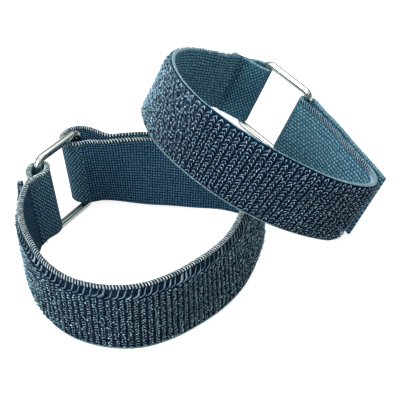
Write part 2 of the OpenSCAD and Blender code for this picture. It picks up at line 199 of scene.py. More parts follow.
def woven_material(name, dark, light, repeat, row, relief, share, ribs=0.0, vee=0.0):
    """Covered-rubber elastic, plain woven: rows of raised picks, each row half a
    repeat on from the last, which give the eye a fine even grain.  Ribs join the
    picks of a row into a line, and a vee sets them in upright columns.  The rows
    are a little coarser than real ones, so that they show."""
    made, tree, bsdf = material(name, Roughness=0.9, Specular_IOR_Level=0.04)
    flat = node(tree, "UVMap", uv_map="flat")
    # The threads wander by a part of a row.
    drift = node(tree, "TexNoise", {"Vector": flat, "Scale": 0.5 / row}, 1)
    drift = node(tree, "VectorMath", {0: drift, 3: row * 0.9}, operation="SCALE")
    drift = node(tree, "VectorMath", {0: flat, 1: drift}, operation="ADD")
    u, v, _ = node(tree, "SeparateXYZ", {0: drift}).node.outputs
    warp = node(tree, "Math", {0: u, 1: 2 * math.pi / repeat}, operation="MULTIPLY")
    warp = node(tree, "Math", {0: warp}, operation="COSINE")
    if vee:
        warp = node(tree, "Math", {0: warp}, operation="ABSOLUTE")
        slant = node(tree, "Math", {0: u, 1: repeat / 4}, operation="PINGPONG")
        slant = node(tree, "Math", {0: slant, 1: vee}, operation="MULTIPLY")
        v = node(tree, "Math", {0: v, 1: slant}, operation="ADD")
    weft = node(tree, "Math", {0: v, 1: math.pi / row}, operation="MULTIPLY")
    weft = node(tree, "Math", {0: weft}, operation="COSINE")
    if vee:
        weft = node(tree, "MapRange", {0: weft, 1: -1.0, 2: 1.0})
    picks = node(tree, "Math", {0: warp, 1: weft}, operation="MULTIPLY")
    if ribs:
        line = node(tree, "Math", {0: weft}, operation="ABSOLUTE")
        line = node(tree, "Math", {0: line, 1: ribs}, operation="MULTIPLY")
        picks = node(tree, "Math", {0: picks, 1: line}, operation="MAXIMUM")
    picks = node(tree, "MapRange", {0: picks, 1: 0.15 if vee else 0.0, 2: 0.75},
                 interpolation_type="SMOOTHSTEP")
    # Some picks are worn darker than others.
    grain = node(tree, "TexNoise", {"Vector": flat, "Scale": 0.8 / row, "Detail": 3.0})
    uneven = node(tree, "MapRange", {0: grain, 1: 0.3, 2: 0.7, 3: 0.35 * share, 4: share})
    tone = node(tree, "Math", {0: picks, 1: uneven}, operation="MULTIPLY")
    shade = node(tree, "Mix", {0: tone, 6: dark, 7: light}, 2, data_type="RGBA")
    surface(tree, bsdf, shade, picks, 0.8, relief)
    return made


def ground_material(name, dark, pale, reach, least):
    """Foot of a brushed pile: near black between the columns. Towards the loose end
    it is paler, partly as the loose loops lie close and partly as painted light."""
    made, tree, bsdf = material(name, Roughness=0.95, Specular_IOR_Level=0.02)
    flat = node(tree, "UVMap", uv_map="flat")
    u = node(tree, "SeparateXYZ", {0: flat})
    noise = node(tree, "TexNoise", {"Vector": flat, "Scale": 0.7 / MM, "Detail": 3.0})
    # Painted light: the ground is paler towards the loose end of the pile.
    loose = node(tree, "MapRange", {0: u, 1: reach * 0.4, 2: reach, 3: 1.0, 4: least})
    mottle = node(tree, "MapRange", {0: noise, 1: 0.35, 2: 0.6})
    tone = node(tree, "Math", {0: loose, 1: mottle}, operation="MULTIPLY")
    shade = node(tree, "Mix", {0: tone, 6: dark, 7: pale}, 2, data_type="RGBA")
    surface(tree, bsdf, shade, noise, 0.6, 0.3 * MM)
    return made


def lit(shade, share):
    """A shade of the same hue, lighter or darker."""
    return [min(1.0, part * share) for part in shade]


def strand_material(name, dark, light, spread, foot_shade=None, rough=0.7, sheen=0.08):
    """Crimped yarn: strands vary from dark to pale, with a soft fuzz of light.
    Given a foot shade colour, each strand darkens towards its foot as painted shade deep in the
    pile."""
    made, tree, bsdf = material(name, Roughness=rough, Sheen_Weight=sheen,
                                Sheen_Roughness=0.4, Specular_IOR_Level=0.2)
    place = node(tree, "TexCoord", out="Object")
    noise = node(tree, "TexNoise", {"Vector": place, "Scale": 1 / spread, "Detail": 2.0})
    tone = node(tree, "MapRange", {0: noise, 1: 0.35, 2: 0.65})
    shade = node(tree, "Mix", {0: tone, 6: dark, 7: light}, 2, data_type="RGBA")
    if foot_shade:
        # Painted shade: the strand darkens from its top down to its foot.
        height = node(tree, "SeparateXYZ", {0: node(tree, "UVMap", uv_map="height")})
        height = node(tree, "MapRange", {0: height, 1: 0.3, 2: 0.9},
                      interpolation_type="SMOOTHSTEP")
        shade = node(tree, "Mix", {0: height, 6: foot_shade, 7: shade}, 2, data_type="RGBA")
    twist = node(tree, "TexNoise", {"Vector": place, "Scale": 4 / MM, "Detail": 1.0})
    surface(tree, bsdf, shade, twist, 0.4, 0.05 * MM)
    return made


def chrome_material(name, tint):
    """Nickel-chrome plated steel wire, drawn and polished: a clear bright
    reflection with the faintest brushing."""
    made, tree, bsdf = material(name, Base_Color=tint, Metallic=1.0, Roughness=0.2)
    place = node(tree, "TexCoord", out="Object")
    marks = node(tree, "TexNoise", {"Vector": place, "Scale": 0.5 / MM, "Detail": 3.0})
    rough = node(tree, "MapRange", {0: marks, 3: 0.14, 4: 0.26})
    tree.links.new(rough, bsdf.inputs["Roughness"])
    return made


FINISHES = {}


def finish(name):
    """The named finish, made once."""
    if name in FINISHES:
        return FINISHES[name]
    c, s = bpy.context.scene.strap_colours, bpy.context.scene.strap_sizes
    # What each is, and then the values that its function takes, in their order.
    recipes = {
        "lower_woven": (woven_material, c.lower_face, c.lower_pick, 1.9 * MM, 0.5 * MM,
                        0.2 * MM, 0.85, 0.0, 1.3),
        "upper_woven": (woven_material, c.upper_face, c.upper_pick, 1.75 * MM, 1.25 * MM,
                        0.2 * MM, 0.95, 0.35),
        "lower_knit": (woven_material, c.lower_back, c.lower_purl, 1.3 * MM, 0.8 * MM,
                       0.3 * MM, 1.0),
        # A lighter copy of the lower knit: painted light on the sewn loop, which lies in shade.
        "lower_loop_knit": (woven_material, lit(c.lower_back, 1.4), lit(c.lower_purl, 1.3),
                            1.3 * MM, 0.8 * MM, 0.3 * MM, 1.0),
        "upper_knit": (woven_material, c.upper_back, c.upper_purl, 1.5 * MM, 0.9 * MM,
                       0.3 * MM, 1.0),
        # The pale of each ground is painted light at the loose end of its pile.
        "lower_ground": (ground_material, c.lower_base, lit(c.loop, 0.3), s.lower_loose, 0.12),
        "upper_ground": (ground_material, c.upper_base, lit(c.loop, 0.45), s.upper_loose, 0.03),
        # The last colour of a yarn is the painted shade at its strands' feet.
        "lower_yarn": (strand_material, c.loop_dark, lit(c.loop, 1.7), MM, c.lower_base),
        "upper_yarn": (strand_material, c.loop_dark, lit(c.loop, 1.25), MM, c.upper_base),
        "lower_fuzz": (strand_material, lit(c.loop_dark, 0.6), lit(c.loop, 0.6), 1.6 * MM,
                       c.lower_back),
        "upper_fuzz": (strand_material, lit(c.loop, 0.4), lit(c.loop, 1.3), 1.6 * MM,
                       c.loop_dark),
        "curl_yarn": (strand_material, lit(c.loop_dark, 0.6), lit(c.loop, 0.75), 3.0 * MM),
        "lower_whip": (strand_material, lit(c.cord, 0.6), lit(c.whip, 1.1), 1.2 * MM),
        "upper_whip": (strand_material, c.upper_pick, c.cord, 1.2 * MM),
        "lower_core": (strand_material, c.core, c.lower_face, 1.5 * MM),
        "upper_core": (strand_material, c.upper_face, c.lower_face, 1.5 * MM),
        "pale_cord": (strand_material, lit(c.cord, 0.5), lit(c.cord, 0.85), 0.8 * MM),
        "overlock_thread": (strand_material, lit(c.loop, 0.7), lit(c.loop, 1.2), 1.2 * MM),
        "sewing_thread": (strand_material, c.thread, c.lower_face, 2 * MM),
        "hook_tape": (strand_material, c.hook, c.core, 2 * MM, None, 0.4, 0.0),
        "chrome_plate": (chrome_material, c.chrome),
    }
    make, *values = recipes[name]
    FINISHES[name] = make(name, *values)
    return FINISHES[name]


# ---- the webbing's path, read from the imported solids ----

def joint_line(name):
    return np.array(JOINTS[name]["pos_m"]), np.array(JOINTS[name]["axis"])


def unit(v):
    return v / np.linalg.norm(v, axis=-1, keepdims=True)


def between(u, marks, values):
    """Values at u, from the values that points have at their marks."""
    return np.stack([np.interp(u, marks, values[:, k]) for k in range(3)], 1)


def read_strip(name, start, up, hub=None):
    """Middle, outward and across directions of each section of a packed strip,
    in order from the point start."""
    s = bpy.context.scene.strap_sizes
    bm = bmesh.new()
    bm.from_mesh(frame["nodes"][name].data)
    bmesh.ops.remove_doubles(bm, verts=bm.verts, dist=SAME)

    def mate(v, size):
        near = [e.other_vert(v) for e in v.link_edges
                if abs(e.calc_length() - size) < 2 * SAME]
        return near[0] if near else None

    cuts = {}
    for v in bm.verts:
        a, b = mate(v, s.webbing_t), mate(v, s.webbing_w)
        if a and b and mate(b, s.webbing_t):
            c = mate(b, s.webbing_t)
            key = tuple(sorted(p.index for p in (v, a, b, c)))
            cuts[key] = [np.array(p.co) for p in (v, a, b, c)]
    found = np.array(list(cuts.values()))
    bm.free()
    if len(found) < 8:
        raise RuntimeError(f"{name} has too few sections to follow")
    mid = found.mean(1)
    out, across = unit(found[:, 1] - found[:, 0]), unit(found[:, 2] - found[:, 0])
    hub = mid.mean(0) if hub is None else hub
    out *= np.sign(np.sum(out * (mid - hub), 1))[:, None]
    across *= np.sign(across @ up)[:, None]
    order, left, here = [], list(range(len(mid))), start
    while left:
        k = min(left, key=lambda i: np.linalg.norm(mid[i] - here))
        left.remove(k)
        order.append(k)
        here = mid[k]
    return mid[order], out[order], across[order], hub


def smoothstep(t):
    return t * t * (3 - 2 * t)


class Path:
    """The middle line of one strap's webbing, from the sewn flap's end round
    the hoop to the tail's end."""

    STEP = 0.4 * MM
    # Points along a flap or run, a side of the sewn loop, its turn, the turn round
    # the free bar and the lifted part of the tail.
    FLAT, SIDE, SEWN, TURN, LIFT = 6, 12, 16, 24, 15

    def __init__(self, strap):
        s = bpy.context.scene.strap_sizes
        half = s.webbing_t / 2
        bar, up = joint_line(strap + "_ring_swivel")
        free, _ = joint_line(strap + "_tail_peel")
        mid, out, across, hub = read_strip(strap + "_band", bar, up)
        tail, _, tail_across, _ = read_strip(strap + "_tail", free, up, hub)
        # Sewn loop: along the flap, round the fixed bar and back to the band.
        ay = out[0]
        ax = unit(mid[0] - ay * half - bar)
        r = s.wire_d / 2 + getattr(s, strap + "_slack") + half
        bulge = getattr(s, strap + "_bulge")

        def side(t, more):
            return half + (r - half) * math.sin(math.pi * t / 2) \
                + more * math.sin(math.pi * t)

        share = np.linspace(0, 1, self.SIDE)
        flap = [(x, -half) for x in np.linspace(s.loop_l + s.flap_l, s.loop_l, self.FLAT)]
        taper = [(s.loop_l * (1 - t), -side(t, bulge)) for t in share[1:]]
        arc = [(r * math.cos(a), r * math.sin(a))
               for a in np.linspace(-math.pi / 2, -1.5 * math.pi, self.SEWN)[1:-1]]
        back = [(s.loop_l * (1 - t), side(t, 0)) for t in np.linspace(1, 0, self.SIDE)[:-1]]
        sewn = [bar + ax * x + ay * y for x, y in flap + taper + arc + back]
        # Turn round the free bar.
        ty = out[-1]
        turn_r = -float((mid[-1] - free) @ ty)
        tx = mid[-1] - free + ty * turn_r
        run = [free + tx * t - ty * turn_r for t in np.linspace(1, 0, self.FLAT)[1:]]
        tx = unit(tx)
        puff = getattr(s, strap + "_puff")
        turn = [free + tx * math.cos(a) * (turn_r + puff / 3)
                + ty * (math.sin(a) * (turn_r + puff / 2) + puff / 2)
                for a in np.linspace(-math.pi / 2, -1.5 * math.pi, self.TURN)[1:-1]]
        # The tail stands off beside the turn before it comes down on the pile.
        fine = np.linspace(0, 1, self.LIFT) * s.puff_l
        grow = np.concatenate([[0], np.cumsum(np.linalg.norm(np.diff(tail, axis=0), axis=1))])
        more = np.union1d(grow, fine)
        tail, tail_across = [between(more, grow, a) for a in (tail, tail_across)]
        along_tail = np.clip((tail - free) @ tx / s.puff_l, 0, 1)
        tail = tail + ty * (puff * (1 - smoothstep(along_tail)))[:, None]
        knots = [*sewn, *mid, *run, *turn, *tail]
        ups = [up] * len(sewn) + list(across) + [up] * (len(run) + len(turn)) \
            + list(tail_across)
        knots, ups = np.array(knots), np.array(ups)
        gaps = np.linalg.norm(np.diff(knots, axis=0), axis=1)
        keep = np.concatenate([[True], gaps > 10 * SAME])
        marks = np.cumsum([len(sewn), len(mid), len(run), len(turn)])
        at = np.concatenate([[0], np.cumsum(gaps)])
        self.band_u, self.band_end_u = at[marks[0]], at[marks[1] - 1]
        self.fold_u, self.tail_u = at[marks[2] - 1], at[marks[3]]
        self.length = at[-1]
        self.u = np.arange(0, self.length + self.STEP, self.STEP)
        grid = np.minimum(self.u, self.length)
        self.mid = between(grid, at[keep], knots[keep])
        self.up = unit(between(grid, at[keep], ups[keep]))
        # Three passes round off the corners between the stretches.
        for _ in range(3):
            for a in (self.mid, self.up):
                a[2:-2] = (a[:-4] + a[1:-3] + a[2:-2] + a[3:-1] + a[4:]) / 5
        along = unit(np.gradient(self.mid, axis=0))
        self.out = unit(np.cross(self.up, along))
        k = int((self.band_u + self.band_end_u) / 2 / self.STEP)
        if self.out[k] @ (self.mid[k] - hub) < 0:
            self.out = -self.out
        self.turn_in = turn_r - half
        self.free, self.turn_y = free, ty

    def lay(self, mesh, start):
        """Bends a flat mesh, whose u counts from start, along the path."""
        s = bpy.context.scene.strap_sizes
        co = np.zeros(len(mesh.vertices) * 3)
        mesh.vertices.foreach_get("co", co)
        co = co.reshape(-1, 3)
        u = co[:, 0] + start
        mid, up, out = [between(u, self.u, a) for a in (self.mid, self.up, self.out)]
        placed = mid + unit(up) * (co[:, 1:2] - s.webbing_w / 2) + unit(out) * co[:, 2:3]
        mesh.vertices.foreach_set("co", placed.ravel())
        mesh.update()


PATHS = {}


def path_of(strap):
    if strap not in PATHS:
        PATHS[strap] = Path(strap)
    return PATHS[strap]


# ---- flat pieces ----

SUNK = 0.2 * MM  # how deep a strip that lies on the webbing sinks into it
PRESSED = 0.15  # thickness left at the sewn flap's cut end
THINNED = 0.3  # share of loose pile's reach that keeps all its strands
LOOSEN_L = 12 * MM  # over which loose pile settles into its columns


def shift(bm, *by):
    bmesh.ops.translate(bm, verts=bm.verts, vec=by)


def move(bm, matrix):
    bmesh.ops.transform(bm, matrix=matrix, verts=bm.verts)


def of_kind(kind, geom):
    return [g for g in geom if isinstance(g, kind)]


def rim_of(verts):
    """The edges of a ring of points, in the same order each time."""
    return list(dict.fromkeys(e for v in verts for e in v.link_edges))


def flat_strip(length, v0, v1, o0, o1):
    """A flat strip of fabric with rounded long edges."""
    bm = bmesh.new()
    size = Vector((length, v1 - v0, o1 - o0))
    bmesh.ops.create_cube(bm, size=1)
    shift(bm, 0.5, 0.5, 0.5)
    bmesh.ops.scale(bm, verts=bm.verts, vec=size)
    shift(bm, 0, v0, o0)

    def long_edges():
        return [e for e in bm.edges
                if abs(e.verts[0].co.x - e.verts[1].co.x) > length / 2]

    bmesh.ops.bevel(bm, geom=long_edges(), offset=size.z * 0.4, segments=3,
                    profile=0.5, affect="EDGES", material=-1)
    bmesh.ops.subdivide_edges(bm, edges=long_edges(), use_grid_fill=True,
                              cuts=max(1, int(length / MM)))
    return bm


def mark_flat(bm):
    """Keeps the flat pattern as a UV map, in metres."""
    layer = bm.loops.layers.uv.new("flat")
    for f in bm.faces:
        for corner in f.loops:
            corner[layer].uv = corner.vert.co.xy


def mark_height(bm):
    """Keeps how high each point stands, from 0 to 1, as a UV map."""
    layer = bm.loops.layers.uv.new("height")
    low = min(p.co.z for p in bm.verts)
    high = max(p.co.z for p in bm.verts)
    for f in bm.faces:
        for corner in f.loops:
            corner[layer].uv = ((corner.vert.co.z - low) / (high - low), 0)


def arch(bm, radius, strand, sweep, steps, sides=5):
    """A bent strand in the u-o plane, centred on +o."""
    half = sweep / 2
    start = Matrix.Rotation(half - math.pi / 2, 4, "Y") @ Matrix.Translation((radius, 0, 0))
    made = bmesh.ops.create_circle(bm, segments=sides, radius=strand, matrix=start)
    bmesh.ops.spin(bm, geom=made["verts"] + rim_of(made["verts"]), cent=(0, 0, 0),
                   axis=(0, -1, 0), angle=sweep, steps=steps)
    bmesh.ops.holes_fill(bm, edges=[e for e in bm.edges if e.is_boundary], sides=0)


def thin_end(bm, s):
    """Presses the sewn flap's cut end flat under its stitches."""
    for p in bm.verts:
        keep = min(PRESSED + (1 - PRESSED) * p.co.x / s.flap_l, 1)
        p.co.z = (p.co.z + s.webbing_t / 2) * keep - s.webbing_t / 2


def tile(bm, count, step):
    """Repeats all that the mesh holds, one step apart."""
    whole = bm.verts[:] + bm.edges[:] + bm.faces[:]
    for i in range(1, count):
        made = bmesh.ops.duplicate(bm, geom=whole)["geom"]
        bmesh.ops.translate(bm, verts=of_kind(BMVert, made), vec=Vector(step) * i)


def thin_out(bm, each, reach):
    """Leaves out more and more strands towards the end of their reach."""
    draw, verts, gone = np.random.default_rng(seed=7), bm.verts[:], []
    for i in range(0, len(verts), each):
        past = max(verts[i].co.x / reach - THINNED, 0) / (1 - THINNED)
        if draw.uniform() < smoothstep(past):
            gone += verts[i:i + each]
    bmesh.ops.delete(bm, geom=gone, context="VERTS")


def to_mesh(bm, name, turn_out=True):
    if turn_out:
        bmesh.ops.recalc_face_normals(bm, faces=bm.faces)
    for f in bm.faces:
        f.smooth = True
    mesh = bpy.data.meshes.new(name)
    bm.to_mesh(mesh)
    bm.free()
    return mesh


def scatter(mesh, each, amount, seed, twist, loose=0.0, wander=0.0):
    """Nudges each strand by itself, more at its top than at its foot, and turns
    it a little.  Strands up to loose along the webbing also wander sideways."""
    co = np.zeros(len(mesh.vertices) * 3)
    mesh.vertices.foreach_get("co", co)
    co = co.reshape(-1, each, 3)
    draw = np.random.default_rng(seed)
    top = (co[:, :, 2:] - co[:, :, 2:].min()) / np.ptp(co[:, :, 2])
    turn = draw.normal(0, twist, (len(co), 1))
    c, n = np.cos(turn), np.sin(turn)
    middle = co.mean(1, keepdims=True)
    x, y, _ = np.moveaxis(co - middle, 2, 0)
    co[:, :, 0] = x * c - y * n + middle[..., 0]
    co[:, :, 1] = x * n + y * c + middle[..., 1]
    co += draw.normal(0, 1, (len(co), 1, 3)) * np.array(amount) * top
    if loose:
        share = smoothstep(np.clip((loose - co[:, :1, 0]) / LOOSEN_L, 0, 1))
        co[:, :, 0] += share * draw.uniform(-wander, wander, (len(co), 1))
        co[:, :, 0] -= np.minimum(co[:, :, 0].min(1, keepdims=True), 0)
    mesh.vertices.foreach_set("co", co.ravel())


def add_object(name, data):
    """An object of some data, linked to the scene."""
    made = bpy.data.objects.new(name, data)
    bpy.context.scene.collection.objects.link(made)
    return made


def put(strap, part, made, finishes, body, replaced=(), blend=None, start=None):
    """Makes a piece of a strap, laid along its webbing where a start is given, and
    hangs it on the body that carries it, or leaves a piece with a blend fixed where it lies."""
    mesh = made if isinstance(made, bpy.types.Mesh) else to_mesh(made, part)
    if start is not None:
        path_of(strap).lay(mesh, start)
    obj = add_object(f"{strap}_{part}", mesh)
    for name in finishes:
        mesh.materials.append(finish(name))
    if blend:
        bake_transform(obj)
    else:
        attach(obj, f"{strap}_{body}")
    if replaced:
        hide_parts(*[f"{strap}_{name}" for name in replaced])


def sections(strap):
    """Start, end, body and blend of each length that the webbing is cut in."""
    path = path_of(strap)
    # The webbing turns from hoop to tail as it goes round the free bar.
    reach = path.turn_y * path.turn_in
    fold = (strap + "_strap", strap + "_tail",
            Vector(path.free - reach), Vector(path.free + reach))
    return {
        "sewn_loop": (0.0, path.band_u, "strap", None),
        "band": (path.band_u, path.fold_u, "strap", None),
        "fold": (path.fold_u, path.tail_u, None, fold),
        "tail": (path.tail_u, path.length, "tail", None),
    }


# ---- operators ----

class STRAPS_OT_webbing(Operator):
    """Weaves the webbing: the sewn loop, the hoop, the turn and the tail"""
    bl_idname = "straps.webbing"
    bl_label = "Webbing"

    NODES = {"sewn_loop": "anchor_loop", "band": "band", "fold": "turn", "tail": "tail"}
    OUTWARD = 0.3  # least part of a face's normal that looks out of the pile side

    def execute(self, context):
        s = context.scene.strap_sizes
        half = s.webbing_t / 2
        for strap in STRAPS:
            for part, (start, end, body, blend) in sections(strap).items():
                bm = flat_strip(end - start, 0, s.webbing_w, -half, half)
                bm.normal_update()
                for f in bm.faces:
                    f.material_index = int(f.normal.z > self.OUTWARD)
                if part == "sewn_loop":
                    thin_end(bm, s)
                shift(bm, start, 0, 0)
                mark_flat(bm)
                # On the fold and the tail the pile side takes the darker woven finish: painted
                # shade between the tail and the hoop.
                # The lower strap's sewn loop takes the lighter copy of its knit as painted
                # light.
                knit = "_loop_knit" if (strap, part) == ("lower", "sewn_loop") else "_knit"
                inner = "_woven" if part == "band" else knit
                outer = {"band": "_ground", "sewn_loop": knit}.get(part, "_woven")
                put(strap, part + "_webbing", bm, [strap + inner, strap + outer], body,
                    [self.NODES[part]], blend, 0.0)
        return {"FINISHED"}


class STRAPS_OT_pile(Operator):
    """Raises the loop pile on the outer face of each hoop"""
    bl_idname = "straps.pile"
    bl_label = "Loop pile"

    FOOT = 0.7 * MM  # bare edge below the pile
    FUZZ_SIZE = {"lower": 0.62, "upper": 0.54}  # of the loops among which it lies
    SLANT = math.radians(-52)  # of a loop, from the webbing's length
    LEAN = 0.9  # of a loop's top towards the next loop, in rows
    # In rows: the first loop's place, its step to a side, and what stays free above.
    FIRST, STEP, SPARE = 0.4, 0.12, 1.5
    NUDGE, TWIST = (0.1 * MM, 0.14 * MM, 0.14 * MM), 0.35
    TOP_GAP, TOP_L, LAID = 0.3 * MM, 3 * MM, 0.3  # the pile's top edge, laid down
    CURL_R, CURL_SWEEP, CURL_SLANT = 3.1 * MM, math.radians(72), math.radians(-34)
    CURL_SWAY = 0.18 * MM
    CURL_PLACE = (0.5 * MM, 1.3 * MM, 0.9 * MM)  # past its column, the pile and the face
    CURL_NUDGE = (0.25 * MM, 0.4 * MM, 0.02 * MM)
    CURLS_FROM = 4  # at the first columns the pile itself reaches the webbing's edge

    def execute(self, context):
        s = context.scene.strap_sizes
        face = s.webbing_t / 2
        for number, strap in enumerate(STRAPS):
            path = path_of(strap)
            start = path.band_u + getattr(s, strap + "_pile_from")
            length = path.band_end_u - s.pile_setback - start
            v0, v1 = self.FOOT, s.webbing_w - getattr(s, strap + "_bare")
            bm = flat_strip(length, v0, v1, face - SUNK, face + s.pile_bed_t)
            mark_flat(bm)
            mesh = to_mesh(bm, "bed")
            self.settle(mesh, s, strap, v0, v1)
            put(strap, "pile_bed", mesh, [strap + "_ground"], "strap", ["pile"],
                start=start)
            reach = getattr(s, strap + "_loose")
            for layer, yarn, run, wander, size, seed in (
                    ("loops", "_yarn", length, 0.5, 1.0, 10),
                    ("fuzz", "_fuzz", reach, 1.0, self.FUZZ_SIZE[strap], 20)):
                mesh = self.loops(s, strap, run, v0, v1, seed + number, reach, wander, size)
                self.settle(mesh, s, strap, v0, v1)
                put(strap, "pile_" + layer, mesh, [strap + yarn], "strap",
                    start=start)
            if strap == "lower":
                self.strands(s, start, length, v0, v1)
        return {"FINISHED"}

    def loops(self, s, strap, run, v0, v1, seed, reach, wander, size):
        """Columns of loops over a run of the webbing, at a share of their size.
        They are a little coarser than real ones, so that they show."""
        column, row, width = [getattr(s, f"{strap}_{key}") * size
                              for key in ("column", "row", "loop_w")]
        step, strand = getattr(s, strap + "_stagger"), getattr(s, strap + "_strand_r")
        columns, rows = round(run / column), round((v1 - v0) / row) - 1
        rise = s.pile_t - s.pile_bed_t - strand
        bm = bmesh.new()
        # Loops step to both sides, and their slants make a chevron.
        for side in (-1, 1):
            before = set(bm.verts)
            arch(bm, width, strand, math.pi, 4, 4)
            loop = [p for p in bm.verts if p not in before]
            turn = Matrix.Rotation(side * self.SLANT, 4, "Z") \
                @ Matrix.Scale(rise / width, 4, (0, 0, 1))
            bmesh.ops.transform(bm, matrix=turn, verts=loop)
            for p in loop:
                p.co.y += p.co.z / rise * row * self.LEAN
            bmesh.ops.translate(bm, verts=loop, vec=(
                column / 2 + side * step, v0 + row * (self.FIRST + side * self.STEP),
                s.webbing_t / 2 + s.pile_bed_t))
        each = len(bm.verts) // 2
        mark_height(bm)
        tile(bm, rows, (0, (v1 - v0 - row * self.SPARE) / (rows - 1), 0))
        tile(bm, columns, (run / columns, 0, 0))
        if run == reach:
            thin_out(bm, each, reach)
        mesh = to_mesh(bm, "loops")
        scatter(mesh, each, self.NUDGE, seed, self.TWIST, reach, column * wander)
        return mesh

    def settle(self, mesh, s, strap, v0, v1):
        """Lets the pile's cut end stand off, as high as the webbing, and lays the
        pile's top edge down."""
        face, flare = s.webbing_t / 2, getattr(s, strap + "_flare")
        for p in mesh.vertices:
            ending = smoothstep(max(1 - p.co.x / s.ending_l, 0))
            p.co.y += (s.webbing_w - self.TOP_GAP - v1) * ending * (p.co.y - v0) / (v1 - v0)
            away = max(min((s.webbing_w - p.co.y) / self.TOP_L, 1), ending, 0)
            if p.co.z > face:
                p.co.z = face + (p.co.z - face) * (self.LAID + (1 - self.LAID) * away)
            p.co.z += flare * ending ** 2

    def strands(self, s, start, length, v0, v1):
        """One longer strand curls up from the top of each column but the first few."""
        bm, columns = bmesh.new(), round(length / s.lower_column)
        pitch = length / columns
        arch(bm, self.CURL_R, s.lower_strand_r, self.CURL_SWEEP, 8, 5)
        each = len(bm.verts)
        curl = Matrix.Rotation(self.CURL_SLANT, 4, "Z") @ Matrix.Rotation(
            math.pi / 2, 4, "Z") @ Matrix.Rotation(math.pi / 2, 4, "X")
        move(bm, curl)
        low, high = min(p.co.y for p in bm.verts), max(p.co.y for p in bm.verts)
        for p in bm.verts:
            p.co.x += self.CURL_SWAY * math.sin(
                2 * math.pi * (p.co.y - low) / (high - low))
        middle = sum((p.co for p in bm.verts), Vector()) / each
        past = Vector((pitch * (self.CURLS_FROM + 0.5), v1, s.webbing_t / 2))
        shift(bm, *(past + Vector(self.CURL_PLACE) - middle))
        tile(bm, columns - self.CURLS_FROM, (pitch, 0, 0))
        mesh = to_mesh(bm, "strands")
        scatter(mesh, each, self.CURL_NUDGE, seed=5, twist=0.08)
        self.settle(mesh, s, "lower", v0, v1)
        put("lower", "pile_strands", mesh, ["curl_yarn"], "strap", start=start)


